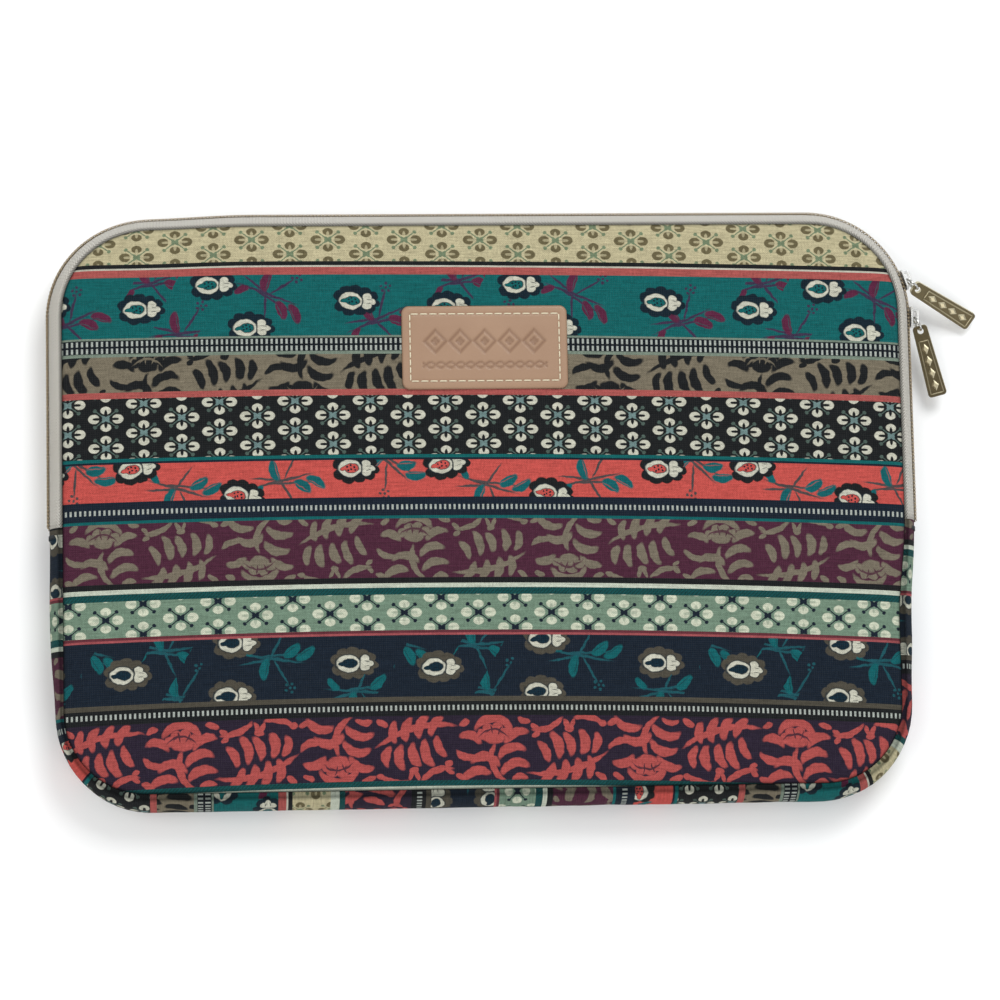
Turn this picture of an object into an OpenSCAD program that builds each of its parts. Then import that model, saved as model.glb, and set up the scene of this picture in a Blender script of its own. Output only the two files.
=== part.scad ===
// Padded laptop sleeve of printed cotton, lying on its back with the label side up.
// The zip runs over the top and the upper half of both sides, so the front's upper half
// lifts as a flap about a fold line that joins the two ends of the zip.
// Origin: the centre of the back panel's underside. +Z goes out of the front panel,
// +Y towards the zip and +X to the side where the sliders are parked.
// Profiles of the side wall are drawn in (u, z): u is the distance outwards from the
// panel's edge, and z is the height above the back panel's underside.

/* [Panels] */
// Width of the front and back panels, seam to seam
panel_w = 340; // [310:1:380]
// Height of the front and back panels, seam to seam
panel_h = 230; // [215:1:260]
// Thickness of the closed sleeve
sleeve_t = 26; // [25:0.5:29]
// Corner radius of the panels at the zip end
corner_top = 36; // [32:1:40]
// Corner radius of the panels at the closed end
corner_bottom = 33; // [30:1:40]
// Distance from the middle of the panel down to the fold line
fold_drop = 7; // [4:0.5:12]

/* [Layers] */
// Thickness of the printed canvas and of the zip tape
canvas_t = 0.8; // [0.6:0.1:0.9]
// Thickness of the foam
foam_t = 2.7; // [2.2:0.1:3]
// Thickness of the fleece lining
lining_t = 1; // [0.8:0.1:1.2]
// How far the side wall bulges past the panel's edge
wall_bulge = 5.5; // [5:0.1:6]

/* [Zip] */
// Height of the coil above the tape
coil_t = 1; // [0.8:0.1:1.1]
// Width of one half of the coil
coil_w = 2.2; // [1.8:0.1:2.3]
// Half of the gap between the two halves of the coil
coil_gap = 0.6; // [0.55:0.05:0.7]
// Angle of the upper slider along the corner, from the +X direction
upper_angle = 19; // [16:1:24]
// How far below the start of the corner the lower slider is parked
lower_drop = 1.4; // [1:0.1:3]

/* [Slider] */
// Length of the slider's body
slider_len = 8.4; // [8:0.1:9]
// Width of the slider's body
slider_w = 8.2; // [7.8:0.1:8.4]
// Thickness of the slider's outer and inner plates
plate_t = 0.7; // [0.6:0.1:0.8]
// Length of the crown over the slider
crown_len = 6.8; // [6.4:0.1:7]
// Mean radius of the ring
ring_r = 2.9; // [2.8:0.1:3]
// Radius of the ring's wire
wire_r = 0.5; // [0.4:0.05:0.55]

/* [Pulls] */
// Length of a pull
pull_len = 30; // [25:0.5:32]
// Width of a pull at its ring end
pull_w_ring = 6; // [5.5:0.1:6.2]
// Width of a pull at its free end
pull_w_tip = 7.6; // [7:0.1:8]
// Thickness of a pull
pull_t = 2; // [1.8:0.1:2.1]
// Radius of the hole for the ring
pull_hole_r = 1.3; // [1.25:0.05:1.35]

/* [Label] */
// Width of the leather label
label_w = 67; // [50:1:80]
// Height of the leather label
label_h = 34; // [25:1:40]
// Thickness of the leather label
label_t = 1.4; // [1:0.1:2]
// Height of the label's centre above the middle of the panel
label_y = 64; // [50:1:70]

/* [Hidden] */
$fn = 64;

print_colour = [0.13, 0.36, 0.36];
foam_colour = [0.30, 0.30, 0.32];
lining_colour = [0.16, 0.16, 0.18];
tape_colour = [0.80, 0.78, 0.72];
coil_colour = [0.88, 0.86, 0.80];
binding_colour = [0.22, 0.22, 0.24];
leather_colour = [0.69, 0.56, 0.47];
thread_colour = [0.85, 0.80, 0.68];
nickel_colour = [0.75, 0.75, 0.73];
bronze_colour = [0.45, 0.38, 0.26];

half_w = panel_w / 2;
half_h = panel_h / 2;
mid_z = sleeve_t / 2;
top_corner_y = half_h - corner_top;
fold_y = -fold_drop;
// Each side of the fold stays this far from it, so the two halves never touch.
fold_gap = 0.15;
flap_start = fold_y + fold_gap;
root_end = fold_y - fold_gap;

// The side wall is an arc through two points just inside the panels' outer faces.
arc_start = 1;
half_chord = mid_z - arc_start;
wall_r = (half_chord * half_chord + wall_bulge * wall_bulge) / (2 * wall_bulge);
arc_centre_u = wall_bulge - wall_r;
arc_steps = 12;
corner_steps = 20;

stack_t = canvas_t + foam_t + lining_t;
// Foam and lining stop this far inside the panel's edge, to leave room for the seam.
seam_inset = 2;
// Curved layers of the wall lie this far apart.
layer_gap = 0.06;
tape_r = wall_r - canvas_t;
coil_r = wall_r + coil_t;

// Heights of the slider's parts above the panel's edge, along u
slider_clearance = 0.3;
outer_plate_u = wall_bulge + coil_t + slider_clearance;
crown_u = outer_plate_u + plate_t;
crown_hole_h = 2.2;
crown_t = 0.9;
crown_w = 1.8;
crown_post = 0.8;
crown_chamfer = 0.8;
bail_u = crown_u + crown_hole_h / 2;
inner_plate_u = 3.65;
plate_chamfer = 1.4;
web_t = 0.6;
web_len = 3.2;
flange_h = 1.1;
flange_t = 0.7;
slider_y = top_corner_y - lower_drop;

// The pull's hole sits a little past the ring's wire, and its end is a little behind it.
hole_lead = 0.4;
pull_rim = 0.9;
pull_back = pull_hole_r - hole_lead + pull_rim;
pull_corner = 1.4;

// Rest angles: the ring's and the pull's directions seen from above, the pull's slope
// down from level, and its roll about its own length
upper_ring_turn = -60;
upper_pull_turn = 12.6;
upper_droop = 18;
lower_ring_turn = -62;
lower_pull_turn = -11.6;
lower_droop = 12;
pull_roll = 20;

stitch_len = 2.6;
stitch_w = 0.7;
stitch_t = 0.3;
stitch_inset = 3.3;
stitches_across = 16;
stitches_up = 9;
label_corner = 3;

tack_w = 1.4;
tack_t = 0.5;
tack_drop = 2.5;
tack_z = [5, 21];

// ---- outlines ----------------------------------------------------------------------

function corner_arc(cx, cy, r, a0) =
    [for (i = [0:corner_steps]) let (a = a0 + 90 * i / corner_steps)
        [cx + r * cos(a), cy + r * sin(a)]];

// The panel's outline, moved inwards by inset
function outline(inset) = let (
        x_top = half_w - corner_top,
        y_top = half_h - corner_top,
        x_low = half_w - corner_bottom,
        y_low = half_h - corner_bottom,
        r_top = corner_top - inset,
        r_low = corner_bottom - inset)
    concat(
        corner_arc(x_top, y_top, r_top, 0),
        corner_arc(-x_top, y_top, r_top, 90),
        corner_arc(-x_low, -y_low, r_low, 180),
        corner_arc(x_low, -y_low, r_low, 270));

// A flat layer of the panel between two heights, z_low and z_high
module layer(z_low, z_high, inset) {
    translate([0, 0, z_low])
        linear_extrude(z_high - z_low)
            polygon(outline(inset));
}

// Keeps what lies above the fold line (the flap's half) of a flat layer
module flap_half() {
    intersection() {
        children();
        translate([-panel_w, flap_start, -1])
            cube([2 * panel_w, panel_h, sleeve_t + 2]);
    }
}

// Keeps what lies below the fold line of a flat layer
module fixed_half() {
    intersection() {
        children();
        translate([-panel_w, root_end - panel_h, -1])
            cube([2 * panel_w, panel_h, sleeve_t + 2]);
    }
}

// ---- the side wall's profiles --------------------------------------------------------

// Points of the wall's arc of radius r between two heights
function arc_points(r, z_low, z_high) = let (
        a_low = asin((z_low - mid_z) / r),
        a_high = asin((z_high - mid_z) / r))
    [for (i = [0:arc_steps]) let (a = a_low + (a_high - a_low) * i / arc_steps)
        [arc_centre_u + r * cos(a), mid_z + r * sin(a)]];

function backwards(points) = [for (i = [len(points) - 1:-1:0]) points[i]];

// A layer of the wall between two radii and two heights
module band(r_in, r_out, z_low, z_high) {
    polygon(concat(
        arc_points(r_out, z_low, z_high),
        backwards(arc_points(r_in, z_low, z_high))));
}

// The bound seam allowance in the angle between the back panel and the wall
module binding_profile() {
    polygon([
        [-seam_inset, 1.4],
        [0.3, 2.9],
        [1.6, stack_t - 0.1],
        [-seam_inset, stack_t - 0.1]
    ]);
}

// Turns a back-panel profile into the same profile for the front panel
module at_front() {
    translate([0, sleeve_t])
        mirror([0, 1])
            children();
}

// ---- sweeps along the panel's edge -----------------------------------------------------

// A profile pulled along -Y from the origin
module run(length) {
    rotate([90, 0, 0])
        linear_extrude(length)
            children();
}

// A profile swept over the top edge, both top corners and down both sides to y_end
module over_top(radius, y_end) {
    for (side = [0, 1])
        mirror([side, 0, 0]) {
            translate([half_w, half_h - radius, 0])
                run(half_h - radius - y_end)
                    children();
            translate([half_w - radius, half_h - radius, 0])
                rotate_extrude(angle = 90)
                    translate([radius, 0])
                        children();
        }
    translate([radius - half_w, half_h, 0])
        rotate([0, 0, 90])
            run(panel_w - 2 * radius)
                children();
}

// The same round the closed end: down both sides from y_end, the corners and the bottom
module round_bottom(y_end) {
    mirror([0, 1, 0])
        over_top(corner_bottom, -y_end)
            children();
}

// ---- back panel ------------------------------------------------------------------------

module back_canvas() {
    color(print_colour)
        layer(0, canvas_t, 0);
}

module back_foam() {
    color(foam_colour)
        layer(canvas_t, canvas_t + foam_t, seam_inset);
}

module back_lining() {
    color(lining_colour)
        layer(canvas_t + foam_t, stack_t, seam_inset);
}

module back_binding() {
    color(binding_colour) {
        over_top(corner_top, fold_y)
            binding_profile();
        round_bottom(fold_y)
            binding_profile();
    }
}

// ---- padded gusset round the closed end --------------------------------------------------

module gusset_canvas() {
    color(print_colour)
        round_bottom(root_end)
            band(tape_r, wall_r, canvas_t, sleeve_t - canvas_t);
}

module gusset_foam() {
    color(foam_colour)
        round_bottom(root_end)
            band(tape_r - foam_t, tape_r - layer_gap, stack_t, sleeve_t - stack_t);
}

module gusset_lining() {
    color(lining_colour)
        round_bottom(root_end)
            band(
                tape_r - foam_t - lining_t,
                tape_r - foam_t - layer_gap,
                stack_t,
                sleeve_t - stack_t);
}

// The sewn bars that close the gusset's folded ends over the ends of the zip
module gusset_bar_tacks() {
    color(thread_colour)
        for (side = [0, 1])
            mirror([side, 0, 0])
                translate([half_w, root_end - tack_drop, 0])
                    run(tack_w)
                        band(wall_r + layer_gap, wall_r + tack_t, tack_z[0], tack_z[1]);
}

// ---- front panel, fixed half and flap half -------------------------------------------------

module front_canvas() {
    layer(sleeve_t - canvas_t, sleeve_t, 0);
}

module front_foam() {
    layer(sleeve_t - canvas_t - foam_t, sleeve_t - canvas_t, seam_inset);
}

module front_lining() {
    layer(sleeve_t - stack_t, sleeve_t - canvas_t - foam_t, seam_inset);
}

module front_canvas_lower() {
    color(print_colour)
        fixed_half()
            front_canvas();
}

module front_foam_lower() {
    color(foam_colour)
        fixed_half()
            front_foam();
}

module front_lining_lower() {
    color(lining_colour)
        fixed_half()
            front_lining();
}

module front_binding_lower() {
    color(binding_colour)
        round_bottom(root_end)
            at_front()
                binding_profile();
}

module front_canvas_upper() {
    color(print_colour)
        flap_half()
            front_canvas();
}

module front_foam_upper() {
    color(foam_colour)
        flap_half()
            front_foam();
}

module front_lining_upper() {
    color(lining_colour)
        flap_half()
            front_lining();
}

module front_binding_upper() {
    color(binding_colour)
        over_top(corner_top, flap_start)
            at_front()
                binding_profile();
}

// ---- zip: tapes and coils -----------------------------------------------------------------

module back_tape_profile() {
    band(tape_r, wall_r, canvas_t, mid_z - coil_gap);
}

module back_coil_profile() {
    band(wall_r, coil_r, mid_z - coil_gap - coil_w, mid_z - coil_gap);
}

module back_zip_tape() {
    color(tape_colour)
        over_top(corner_top, root_end)
            back_tape_profile();
}

module back_zip_coil() {
    color(coil_colour)
        over_top(corner_top, root_end)
            back_coil_profile();
}

module front_zip_tape() {
    color(tape_colour)
        over_top(corner_top, flap_start)
            at_front()
                back_tape_profile();
}

module front_zip_coil() {
    color(coil_colour)
        over_top(corner_top, flap_start)
            at_front()
                back_coil_profile();
}

// ---- label ------------------------------------------------------------------------------------

module label_outline() {
    x = label_w / 2 - label_corner;
    y = label_h / 2 - label_corner;
    polygon(concat(
        corner_arc(x, y, label_corner, 0),
        corner_arc(-x, y, label_corner, 90),
        corner_arc(-x, -y, label_corner, 180),
        corner_arc(x, -y, label_corner, 270)));
}

module leather_label() {
    color(leather_colour)
        translate([0, label_y, sleeve_t])
            linear_extrude(label_t)
                label_outline();
}

// A row of stitches centred on the origin, along X
module stitch_row(count, length) {
    for (i = [0:count - 1])
        translate([length * ((i + 0.5) / count - 0.5), 0, stitch_t / 2])
            cube([stitch_len * length / count / 3.8, stitch_w, stitch_t], center = true);
}

module label_stitching() {
    across = label_w - 2 * stitch_inset - 2;
    up = label_h - 2 * stitch_inset - 2;
    color(thread_colour)
        translate([0, label_y, sleeve_t + label_t])
            for (side = [-1, 1]) {
                translate([0, side * (label_h / 2 - stitch_inset), 0])
                    stitch_row(stitches_across, across);
                translate([side * (label_w / 2 - stitch_inset), 0, 0])
                    rotate([0, 0, 90])
                        stitch_row(stitches_up, up);
            }
}

// ---- sliders, rings and pulls --------------------------------------------------------------------
// A slider is drawn at the right-hand edge of the panel: X is u, Y runs along the zip.

module plate(u) {
    y = slider_len / 2;
    z = slider_w / 2;
    c = plate_chamfer;
    translate([u, 0, mid_z])
        rotate([90, 0, 90])
            linear_extrude(plate_t)
                polygon([
                    [-y, c - z], [c - y, -z], [y - c, -z], [y, c - z],
                    [y, z - c], [y - c, z], [c - y, z], [-y, z - c]
                ]);
}

module crown() {
    y = crown_len / 2;
    top = crown_u + crown_hole_h + crown_t;
    c = crown_chamfer;
    hole_y = y - crown_post;
    hole_top = crown_u + crown_hole_h;
    translate([0, 0, mid_z - crown_w / 2])
        linear_extrude(crown_w)
            polygon([
                [crown_u, -y], [top - c, -y], [top, c - y],
                [top, y - c], [top - c, y], [crown_u, y],
                [crown_u, hole_y], [hole_top - c / 2, hole_y], [hole_top, hole_y - c / 2],
                [hole_top, c / 2 - hole_y], [hole_top - c / 2, -hole_y], [crown_u, -hole_y]
            ]);
}

module slider_body() {
    plate(outer_plate_u);
    plate(inner_plate_u - plate_t);
    crown();
    // The diamond that parts the coils, in the gap between them
    translate([inner_plate_u, slider_len / 2 - web_len - plate_chamfer, mid_z - web_t / 2])
        cube([outer_plate_u - inner_plate_u, web_len, web_t]);
    // The flange that guides the back coil
    translate([outer_plate_u - flange_h, plate_chamfer - slider_len / 2, mid_z - slider_w / 2])
        cube([flange_h, slider_len - 2 * plate_chamfer, flange_t]);
}

// Puts children at the crown's hole
module at_bail() {
    translate([bail_u, 0, mid_z])
        children();
}

module ring(turn) {
    at_bail()
        rotate([0, 0, turn])
            translate([ring_r, 0, 0])
                rotate([90, 0, 0])
                    rotate_extrude()
                        translate([ring_r, 0])
                            circle(wire_r);
}

module pull_outline() {
    x0 = -pull_back;
    x1 = pull_len - pull_back;
    a = pull_w_ring / 2;
    b = pull_w_tip / 2;
    c = pull_corner;
    polygon(concat(
        corner_arc(x1 - c, b - c, c, 0),
        corner_arc(x0 + c, a - c, c, 90),
        corner_arc(x0 + c, c - a, c, 180),
        corner_arc(x1 - c, c - b, c, 270)));
}

// A pull hangs on the ring's far side, at the point that lies droop degrees down from level.
module pull(ring_turn, pull_turn, droop) {
    at_bail()
        rotate([0, 0, ring_turn])
            translate([ring_r, 0, 0])
                rotate([0, droop, 0])
                    translate([ring_r, 0, 0])
                        rotate([pull_roll, 0, pull_turn])
                            translate([0, 0, -pull_t / 2])
                                difference() {
                                    linear_extrude(pull_t)
                                        pull_outline();
                                    translate([hole_lead, 0, -1])
                                        cylinder(h = pull_t + 2, r = pull_hole_r);
                                }
}

// Places for the two sliders
module at_upper() {
    translate([half_w - corner_top, top_corner_y, 0])
        rotate([0, 0, upper_angle])
            translate([corner_top, 0, 0])
                children();
}

module at_lower() {
    translate([half_w, slider_y, 0])
        children();
}

module upper_slider() {
    color(nickel_colour)
        at_upper()
            slider_body();
}

module upper_ring() {
    color(nickel_colour)
        at_upper()
            ring(upper_ring_turn);
}

module upper_pull() {
    color(bronze_colour)
        at_upper()
            pull(upper_ring_turn, upper_pull_turn, upper_droop);
}

module lower_slider() {
    color(nickel_colour)
        at_lower()
            mirror([0, 1, 0])
                slider_body();
}

module lower_ring() {
    color(nickel_colour)
        at_lower()
            ring(lower_ring_turn);
}

module lower_pull() {
    color(bronze_colour)
        at_lower()
            pull(lower_ring_turn, lower_pull_turn, lower_droop);
}

back_canvas();
back_foam();
back_lining();
back_binding();
gusset_canvas();
gusset_foam();
gusset_lining();
gusset_bar_tacks();
front_canvas_lower();
front_foam_lower();
front_lining_lower();
front_binding_lower();
back_zip_tape();
back_zip_coil();
front_canvas_upper();
front_foam_upper();
front_lining_upper();
front_binding_upper();
front_zip_tape();
front_zip_coil();
leather_label();
label_stitching();
upper_slider();
upper_ring();
upper_pull();
lower_slider();
lower_ring();
lower_pull();
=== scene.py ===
import math

import bmesh
import bpy
import numpy as np
from mathutils import Matrix, Vector, noise


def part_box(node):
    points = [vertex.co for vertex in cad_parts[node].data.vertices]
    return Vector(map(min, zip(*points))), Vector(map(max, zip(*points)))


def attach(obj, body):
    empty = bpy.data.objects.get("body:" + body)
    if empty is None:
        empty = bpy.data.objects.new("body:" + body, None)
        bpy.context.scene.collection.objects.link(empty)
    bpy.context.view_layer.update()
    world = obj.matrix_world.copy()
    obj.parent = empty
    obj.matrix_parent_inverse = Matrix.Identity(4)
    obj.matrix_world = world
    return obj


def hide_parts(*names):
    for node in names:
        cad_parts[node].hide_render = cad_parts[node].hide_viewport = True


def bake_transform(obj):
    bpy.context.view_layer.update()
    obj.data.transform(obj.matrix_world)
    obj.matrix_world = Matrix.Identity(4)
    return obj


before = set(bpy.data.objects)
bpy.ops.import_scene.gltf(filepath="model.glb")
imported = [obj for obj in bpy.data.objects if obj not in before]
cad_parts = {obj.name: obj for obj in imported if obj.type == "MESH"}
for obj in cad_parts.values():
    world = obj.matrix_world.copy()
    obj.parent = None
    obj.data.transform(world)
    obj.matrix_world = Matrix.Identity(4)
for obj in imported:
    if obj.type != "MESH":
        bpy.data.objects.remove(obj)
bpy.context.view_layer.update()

# Lengths are in millimetres throughout; meshes are scaled to metres as they are made.
MM = 0.001


def node_box(node):
    """Lowest and highest corner of a CAD node, in millimetres."""
    return [Vector(corner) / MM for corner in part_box(node)]


# ---- sizes, from the frame --------------------

HALF_W = node_box("back_canvas")[1].x
HALF_H = node_box("back_canvas")[1].y
THICK = node_box("front_canvas_upper")[1].z
FOLD_Y = (node_box("front_canvas_upper")[0].y + node_box("front_canvas_lower")[1].y) / 2
BULGE = node_box("gusset_canvas")[1].x - HALF_W
COIL_TOP = node_box("back_zip_coil")[1].x - HALF_W
MID_Z = THICK / 2
CANVAS = node_box("back_canvas")[1].z
LINING_Z = node_box("back_lining")[1].z
# Radii of the corners at the zip end and at the closed end
R_TOP = 36.0
R_LOW = 33.0
# The side wall is an arc from one seam to the other.
HALF_CHORD = MID_Z - 1.0
WALL_R = (HALF_CHORD**2 + BULGE**2) / (2 * BULGE)
ARC_U = BULGE - WALL_R
# Height of the seam between a panel and the wall, from the panel's outer face
SEAM_DROP = 2.6
# How far the closed end's seams lie inside the wall's foot, and the same at its right-hand side
TUCK = 1.4
SIDE_TUCK = 1.2
# How far a strip of the wall is turned in to the panel's edge
LIP = 2.3
# How much narrower the closed end is on the right
NARROWER = 2.4
# How far the top seam droops on the left, where that begins and the width it grows over
DROOP = 1.5
DROOP_FROM = 92
DROOP_OVER = 50
FOAM_THICK = 2.3
WALL_FOAM_THICK = 2.6
FLEECE_THICK = 0.9
TAPE_THICK = 0.7
# Where the tapes end beside the coil's middle, and the pitch of the coil's turns
COIL_HALF = 0.6
TOOTH_PITCH = 1.45
TAU = 2 * math.pi


def srgb(code):
    """A hex colour as linear RGBA."""
    parts = [int(code[i:i + 2], 16) / 255 for i in (0, 2, 4)]
    return tuple(c / 12.92 if c < 0.04045 else ((c + 0.055) / 1.055) ** 2.4 for c in parts) + (1.0,)


# ---- meshes --------------------

# below() rises from this distance under the middle, over the second one.
BELOW_FROM = 5
BELOW_OVER = 45


def below(y):
    """0 above the fold line, rising to 1 well below it."""
    t = min(max((-BELOW_FROM - y) / BELOW_OVER, 0), 1)
    return t * t * (3 - 2 * t)


def settle(point):
    """The closed end is sewn a little narrower on its right-hand side, and the top seam
    droops towards its left-hand corner."""
    point.x -= NARROWER * below(point.y) * max(point.x, 0) / HALF_W
    reach = min(max((-point.x - DROOP_FROM) / DROOP_OVER, 0), 1)
    point.y -= DROOP * reach * reach * (3 - 2 * reach) * (max(point.y, 0) / HALF_H) ** 4


def link(name, mesh, materials):
    piece = bpy.data.objects.new(name, mesh)
    bpy.context.scene.collection.objects.link(piece)
    for material in materials:
        mesh.materials.append(material)
    mesh.polygons.foreach_set("use_smooth", [True] * len(mesh.polygons))
    return piece


def from_bmesh(name, bm, materials, outward=True):
    if outward:
        bmesh.ops.recalc_face_normals(bm, faces=bm.faces)
    for vert in bm.verts:
        settle(vert.co)
    bmesh.ops.scale(bm, vec=(MM, MM, MM), verts=bm.verts)
    mesh = bpy.data.meshes.new(name)
    bm.to_mesh(mesh)
    bm.free()
    return link(name, mesh, materials)


def strip_mesh(name, points, along, across, materials, slot_of=None):
    """A closed tube from points[i][j]: i runs along it, j round its profile.
    along has one value for each i and across one more than there are j."""
    rows, ring = points.shape[:2]
    bm = bmesh.new()
    uv = bm.loops.layers.uv.new("print")
    verts = [[bm.verts.new(p) for p in row] for row in points]
    for i in range(rows - 1):
        for j in range(ring):
            k = (j + 1) % ring
            face = bm.faces.new((verts[i][j], verts[i + 1][j], verts[i + 1][k], verts[i][k]))
            places = ((i, j), (i + 1, j), (i + 1, j + 1), (i, j + 1))
            for loop, (a, b) in zip(face.loops, places):
                loop[uv].uv = (across[b], along[a])
            if slot_of:
                face.material_index = slot_of((along[i] + along[i + 1]) / 2)
    for row, value in ((verts[0], along[0]), (verts[-1], along[-1])):
        face = bm.faces.new(row)
        for loop, w in zip(face.loops, across):
            loop[uv].uv = (w, value)
        if slot_of:
            face.material_index = slot_of(value)
    return from_bmesh(name, bm, materials)


def tube(bm, route, radius, sides=6, closed=False):
    """A round tube along a list of points."""
    route = [Vector(p) for p in route]
    count = len(route)
    rings = []
    up = Vector((0.13, 0.21, 1)).normalized()
    for i, p in enumerate(route):
        before = route[i - 1] if i or closed else p
        after = route[(i + 1) % count] if i + 1 < count or closed else p
        ahead = (after - before).normalized()
        side = ahead.cross(up).normalized()
        top = side.cross(ahead)
        rings.append([
            bm.verts.new(p + radius * (math.cos(TAU * k / sides) * side + math.sin(TAU * k / sides) * top))
            for k in range(sides)
        ])
    last = count if closed else count - 1
    for i in range(last):
        a, b = rings[i], rings[(i + 1) % count]
        for k in range(sides):
            m = (k + 1) % sides
            bm.faces.new((a[k], b[k], b[m], a[m]))
    if not closed:
        bm.faces.new(rings[0])
        bm.faces.new(rings[-1])


# ---- the panel's edge --------------------


class Edge:
    """The panel's edge from the fold line on the right, round one end, to the fold on the left.
    sign is 1 for the zip end and -1 for the closed end."""

    def __init__(self, radius, sign):
        self.radius = radius
        self.sign = sign
        self.side = HALF_H - radius - sign * FOLD_Y
        self.arc = math.pi / 2 * radius
        self.top = 2 * (HALF_W - radius)
        self.length = 2 * self.side + 2 * self.arc + self.top

    def at(self, s):
        """The point s along the edge and its outward direction."""
        r = self.radius
        near = min(s, self.length - s)
        mirror = 1 if s <= self.length / 2 else -1
        if near <= self.side:
            x, y, angle = HALF_W, HALF_H - r - self.side + near, 0.0
        elif near <= self.side + self.arc:
            angle = (near - self.side) / r
            x, y = HALF_W - r + r * math.cos(angle), HALF_H - r + r * math.sin(angle)
        else:
            x, y, angle = HALF_W - r - (near - self.side - self.arc), HALF_H, math.pi / 2
        return (
            Vector((mirror * x, self.sign * y, 0)),
            Vector((mirror * math.cos(angle), self.sign * math.sin(angle), 0)),
        )

    def steps(self, straight, extra=()):
        """Values of s: a step of about straight on the straights, finer in the corners."""
        stops = [0, self.side, self.side + self.arc]
        stops += [self.length - stop for stop in reversed(stops)]
        values = set(extra)
        for i, (a, b) in enumerate(zip(stops, stops[1:])):
            count = 14 if i in (1, 3) else max(2, round((b - a) / straight))
            values.update(a + (b - a) * k / count for k in range(count + 1))
        ordered = sorted(values)
        kept = ordered[:1]
        for value in ordered[1:]:
            if value - kept[-1] > 0.05:
                kept.append(value)
        return kept

    def sweep(self, profile, values):
        """Points of a (u, z) profile at each value of s."""
        rows = []
        for s in values:
            foot, out = self.at(s)
            rows.append([foot + u * out + Vector((0, 0, z)) for u, z in profile(s)])
        return np.array(rows)


ZIP_EDGE = Edge(R_TOP, 1)
GUSSET_EDGE = Edge(R_LOW, -1)


def wall_point(height, w):
    """(u, z) at a height above the wall's arc, w along it from the middle."""
    angle = w / WALL_R
    return ARC_U + (WALL_R + height) * math.cos(angle), MID_Z + (WALL_R + height) * math.sin(angle)


def inset(x, y):
    """How far (x, y) lies inside the panel's outline."""
    r = R_TOP if y > 0 else R_LOW
    qx = abs(x) - (HALF_W - r)
    qy = y - (HALF_H - r) if y > 0 else -y - (HALF_H - TUCK - r)
    return r - math.hypot(max(qx, 0), max(qy, 0)) - min(max(qx, qy), 0)


def outline(depth, step):
    """Points round the panel's outline, moved inwards by depth."""
    points = []
    corners = (
        (HALF_W, HALF_H, R_TOP, 0),
        (-HALF_W, HALF_H, R_TOP, 1),
        (-HALF_W, -HALF_H + TUCK, R_LOW, 2),
        (HALF_W, -HALF_H + TUCK, R_LOW, 3),
    )
    arcs = []
    for cx, cy, r, turn in corners:
        centre = Vector((cx - math.copysign(r, cx), cy - math.copysign(r, cy)))
        arcs.append([
            centre + (r - depth) * Vector((math.cos(a), math.sin(a)))
            for a in (math.pi / 2 * (turn + k / 18) for k in range(19))
        ])
    for arc, following in zip(arcs, arcs[1:] + arcs[:1]):
        points += arc
        a, b = arc[-1], following[0]
        count = max(2, round((b - a).length / step))
        points += [a + (b - a) * k / count for k in range(1, count)]
    return points


# ---- the print --------------------
# The print's own coordinates are millimetres of cloth: u to the right, v down from the
# front's top seam. It repeats every REPEAT_V down and REPEAT_U across.

REPEAT_U = 122.4
REPEAT_V = 227.0
STRETCH = 2 * HALF_H / REPEAT_V

# Where each band of the print starts. The last one ends at REPEAT_V.
BANDS = (
    ("beige", 0.0), ("teal", 19.9), ("ladder", 45.3), ("taupe", 52.0), ("black", 68.6),
    ("coral", 94.5), ("dashes", 109.4), ("plum", 118.0), ("sage", 148.2), ("navy", 164.3),
    ("ticks", 190.5), ("crimson", 196.1),
)
BAND_STARTS = [start for _, start in BANDS]


def band_of(v):
    v = v % REPEAT_V
    return max(i for i, start in enumerate(BAND_STARTS) if v >= start - 1e-6)


def bow(x):
    """How the front's stripes hang lower at its sides: (a drop, more of it for each mm down)."""
    curve = (x / 152) ** 2
    return 0.8 + 0.0105 * x + 1.3 * curve, 0.011 * curve


def cloth_v(x, y):
    """The print's v at a place on the front."""
    drop, more = bow(x)
    return (HALF_H - y - drop) / (STRETCH + more)


def cloth_y(x, v):
    drop, more = bow(x)
    return HALF_H - drop - v * (STRETCH + more)


INK = {name: srgb(code) for name, code in {
    "beige": "AEA584", "olive": "5F573E", "leafgrey": "68765C", "black": "17191B", "pale": "B0AD9F",
    "coral": "B34A44", "teal": "0A5757", "grey": "6E7B6E", "tick": "9CA29B", "ladder": "0F151C",
    "taupe": "6E6656", "cream": "B7B6A6", "mist": "637A78", "plum": "452132", "stone": "6D6557",
    "sage": "687E6C", "petal": "BABEA9", "red": "5C2A32", "rose": "92494C", "navy": "131D29",
    "brown": "464239", "violet": "251D2C", "crimson": "9F4845", "green": "0F3735", "wine": "521F38",
    "leaf": "0B565A", "inknavy": "0E1E28", "fig": "362B42", "slate": "46564F", "bark": "463F40",
    "spruce": "0C2430", "fern": "184A52", "white": "B2B8A8", "salmon": "9A4D49",
}.items()}


def tint(name):
    """The linear RGBA of an ink or of a hex colour."""
    return INK.get(name) or srgb(name)


def operator(kind, swapped=False):
    """A Value's method that adds one Math node."""
    def apply(value, *others):
        terms = (*others, value) if swapped else (value, *others)
        return value.shader.math(kind, *terms)
    return apply


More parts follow.
